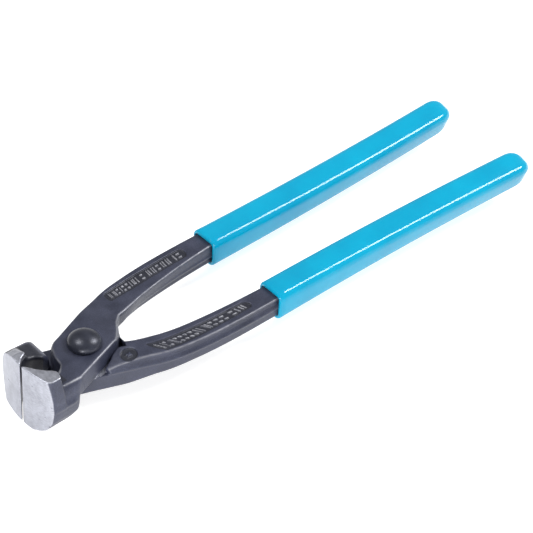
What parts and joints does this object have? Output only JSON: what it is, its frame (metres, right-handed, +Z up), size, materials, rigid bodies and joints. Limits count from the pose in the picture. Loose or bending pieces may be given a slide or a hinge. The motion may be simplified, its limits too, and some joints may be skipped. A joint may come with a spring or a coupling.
{
  "type": "end-cutting nippers",
  "caption": "End-cutting nippers: forged levers in a riveted lap joint, a broad ground cutting head and long dipped plastic grips, for nibbling tile and twisting or cutting wire.",
  "frame": {"origin": "centre of the tool's footprint at rest, at the height of the undersides of the jaws", "axes": "+X from the cutting edges to the ends of the handles, +Y to the handle of the upper lever, +Z up along the rivet to its domed head"},
  "size_m": [0.2197, 0.0524, 0.026],
  "materials": {
    "forged_steel": "black phosphated drop-forged steel, fine matt grain, bright where ground",
    "rivet_steel": "black phosphated steel, semi-matt",
    "grip_plastic": "glossy dipped soft vinyl, cyan blue"
  },
  "bodies": {
    "upper_half": {"upper_lever": "forged_steel", "rivet": "rivet_steel", "upper_grip": "grip_plastic"},
    "lower_half": {"lower_lever": "forged_steel", "lower_grip": "grip_plastic"}
  },
  "joints": [
    {"name": "rivet_pivot", "type": "hinge", "parent": "upper_half", "child": "lower_half", "pos_m": [-0.084, 0, 0.013], "axis": [0, 0, -1], "range_deg": [-1.6, 18]}
  ]
}
